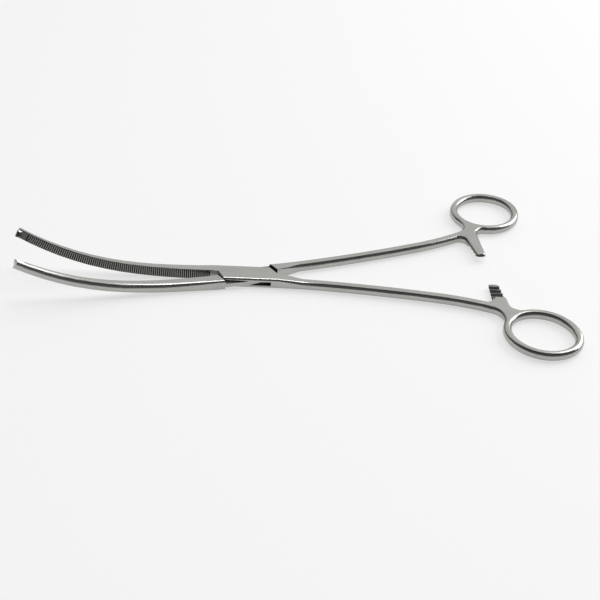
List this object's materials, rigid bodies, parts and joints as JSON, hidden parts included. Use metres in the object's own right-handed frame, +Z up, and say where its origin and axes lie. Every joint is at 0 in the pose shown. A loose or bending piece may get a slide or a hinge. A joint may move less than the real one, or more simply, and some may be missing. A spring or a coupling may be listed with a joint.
{
  "type": "artery forceps",
  "caption": "Long curved artery forceps in satin stainless steel, with box lock, cross-serrated jaws, toothed tips, finger rings and a ratchet",
  "frame": {"origin": "where the pivot pin's axis meets the lock's flat underside, on the ground", "axes": "+X from the lock to the finger rings, along the line that halves the opening angle; +Y to the side of the through half's ring; +Z up along the pivot pin, the way the jaws curve"},
  "size_m": [0.2361, 0.1276, 0.0223],
  "materials": {
    "satin_steel": "fine satin brush with bright rounded edges",
    "pin_steel": "ground flush and brushed with the lock"
  },
  "bodies": {
    "box_body": {"box_half": "satin_steel", "pivot_pin": "pin_steel"},
    "through_body": {"through_half": "satin_steel"}
  },
  "joints": [
    {"name": "box_lock_hinge", "type": "hinge", "parent": "box_body", "child": "through_body", "pos_m": [0, 0, 0.0025], "axis": [0, 0, 1], "range_deg": [-12.9, 47]}
  ]
}
